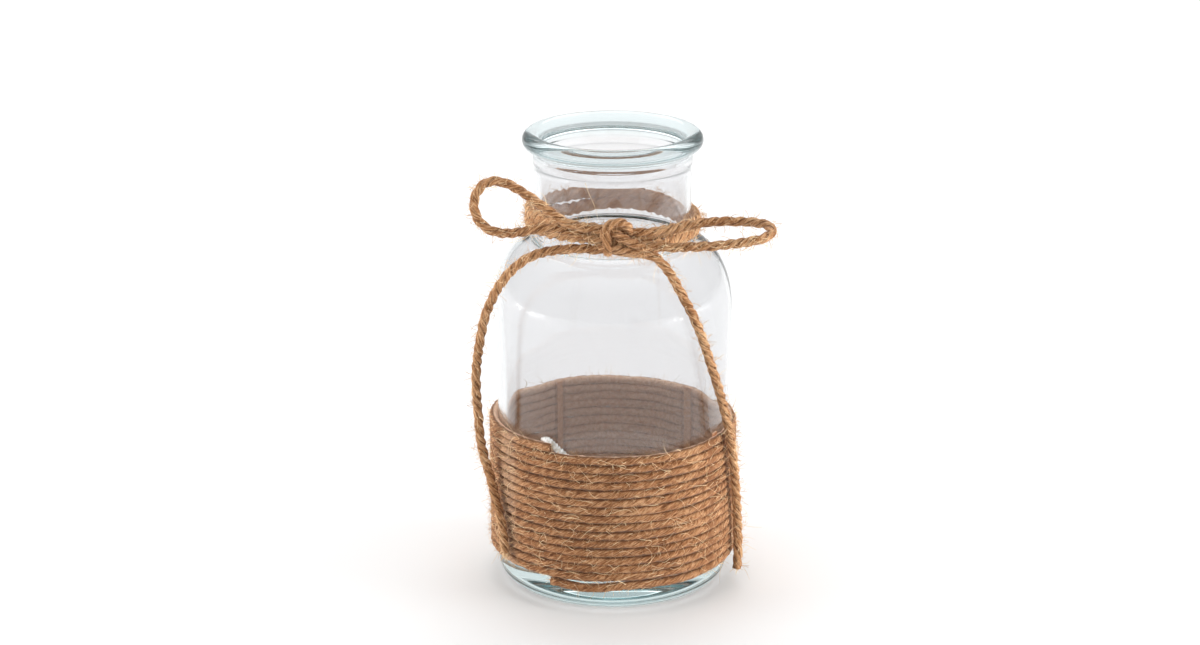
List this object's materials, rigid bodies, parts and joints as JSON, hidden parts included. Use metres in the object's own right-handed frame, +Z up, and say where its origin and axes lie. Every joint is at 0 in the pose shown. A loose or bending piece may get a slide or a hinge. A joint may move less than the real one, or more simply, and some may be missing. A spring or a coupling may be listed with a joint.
{
  "type": "bottle vase",
  "caption": "Clear glass bottle vase with a rolled lip, jute twine wound and glued round its lower body, and a twine bow tied round its neck.",
  "frame": {"origin": "centre of the foot, on the surface that the bottle stands on", "axes": "+Z up along the bottle's axis, -Y towards the bow's knot, +X to the right seen from the front"},
  "size_m": [0.092, 0.0772, 0.1438],
  "materials": {
    "clear_glass": "clear moulded glass, faint blue-green where thick",
    "jute_wound": "natural jute twine, packed turns, fine fuzz",
    "jute_loose": "natural jute twine, twisted plies, fine fuzz",
    "dried_glue": "dried clear craft glue, satin"
  },
  "bodies": {
    "bottle": {"glass_bottle": "clear_glass", "body_winding": "jute_wound", "glue_line_1": "dried_glue", "glue_line_2": "dried_glue", "glue_line_3": "dried_glue", "glue_line_4": "dried_glue", "glue_dab": "dried_glue"},
    "neck_tie": {"neck_winding": "jute_loose", "bow_knot": "jute_loose", "bow_loop_left": "jute_loose", "bow_loop_right": "jute_loose", "bow_tail_left": "jute_loose", "bow_tail_right": "jute_loose"}
  },
  "joints": [
    {"name": "tie_turn", "type": "hinge", "parent": "bottle", "child": "neck_tie", "pos_m": [0, 0, 0.1172], "axis": [0, 0, 1], "continuous": true}
  ]
}
